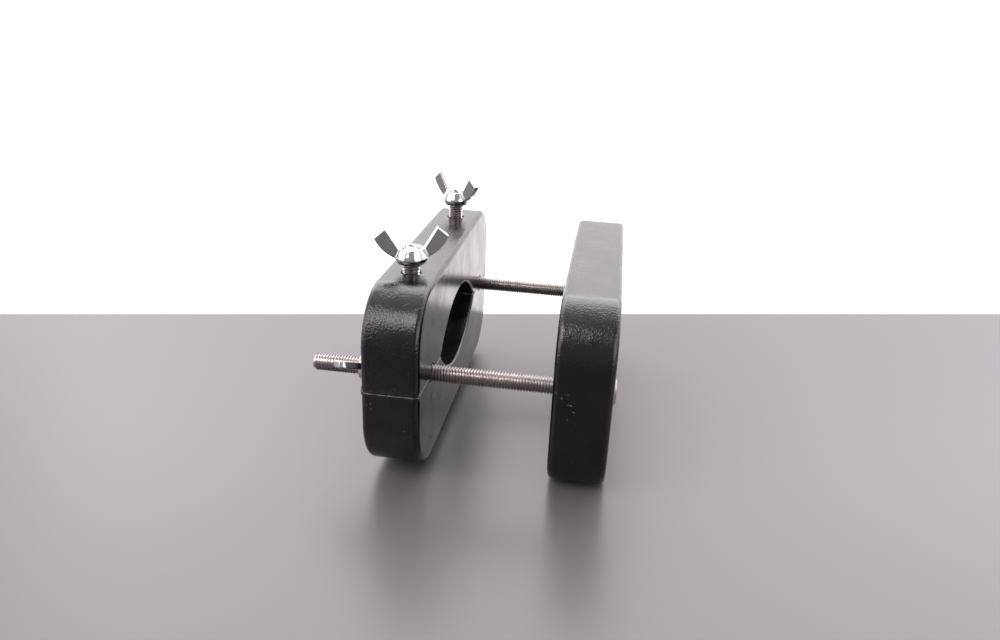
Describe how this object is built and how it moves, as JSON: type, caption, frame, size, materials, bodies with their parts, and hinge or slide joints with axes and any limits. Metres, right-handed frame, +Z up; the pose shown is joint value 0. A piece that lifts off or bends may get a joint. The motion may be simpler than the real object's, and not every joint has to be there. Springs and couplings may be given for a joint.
{
  "type": "split-block bar clamp with draw-up jaw plate",
  "caption": "Clamp with a split block that closes on a tube or rope, and a jaw plate drawn towards it by long bolts; wing nuts tighten both directions.",
  "frame": {"origin": "under the middle of the whole clamp's bounding box, level with the undersides of the clamp bolts' heads, the lowest point", "axes": "+X runs along the long bolts, from their free ends to their heads in the jaw plate; +Y runs along the plates, away from the front nuts; +Z is up, along the clamp bolts to their wing nuts"},
  "size_m": [0.1024, 0.131, 0.0843],
  "materials": {
    "block_plastic": "satin black, machined faces",
    "jaw_plastic": "satin black, machined faces with fine scratches",
    "bolt_steel": "bright stainless, rolled thread",
    "nut_steel": "polished stainless, cast and tumbled"
  },
  "bodies": {
    "lower_half": {"lower_block_half": "block_plastic", "front_clamp_bolt": "bolt_steel", "rear_clamp_bolt": "bolt_steel"},
    "upper_half": {"upper_block_half": "block_plastic"},
    "front_clamp_nut": {"front_clamp_wing_nut": "nut_steel"},
    "rear_clamp_nut": {"rear_clamp_wing_nut": "nut_steel"},
    "front_draw_nut": {"front_draw_wing_nut": "nut_steel"},
    "rear_draw_nut": {"rear_draw_wing_nut": "nut_steel"},
    "jaw": {"jaw_plate": "jaw_plastic", "front_long_bolt": "bolt_steel", "rear_long_bolt": "bolt_steel"}
  },
  "joints": [
    {"name": "split_opening", "type": "slide", "parent": "lower_half", "child": "upper_half", "axis": [0, 0, 1], "range_m": [0, 0.003]},
    {"name": "front_clamp_spin", "type": "hinge", "parent": "lower_half", "child": "front_clamp_nut", "pos_m": [-0.0198, -0.0375, 0.07], "axis": [0, 0, 1], "continuous": true},
    {"name": "rear_clamp_spin", "type": "hinge", "parent": "lower_half", "child": "rear_clamp_nut", "pos_m": [-0.0198, 0.0375, 0.072], "axis": [0, 0, 1], "continuous": true},
    {"name": "jaw_travel", "type": "slide", "parent": "lower_half", "child": "jaw", "axis": [-1, 0, 0], "range_m": [-0.012, 0.041]},
    {"name": "front_draw_spin", "type": "hinge", "parent": "lower_half", "child": "front_draw_nut", "pos_m": [-0.0295, -0.0465, 0.0348], "axis": [1, 0, 0], "range_deg": [-4321, 14761]},
    {"name": "rear_draw_spin", "type": "hinge", "parent": "lower_half", "child": "rear_draw_nut", "pos_m": [-0.0295, 0.0465, 0.0348], "axis": [1, 0, 0], "range_deg": [-4321, 14761]}
  ],
  "couplings": [
    {"joint": "front_draw_spin", "follows": "jaw_travel", "rad_per_m": 6283.2},
    {"joint": "rear_draw_spin", "follows": "jaw_travel", "rad_per_m": 6283.2}
  ]
}
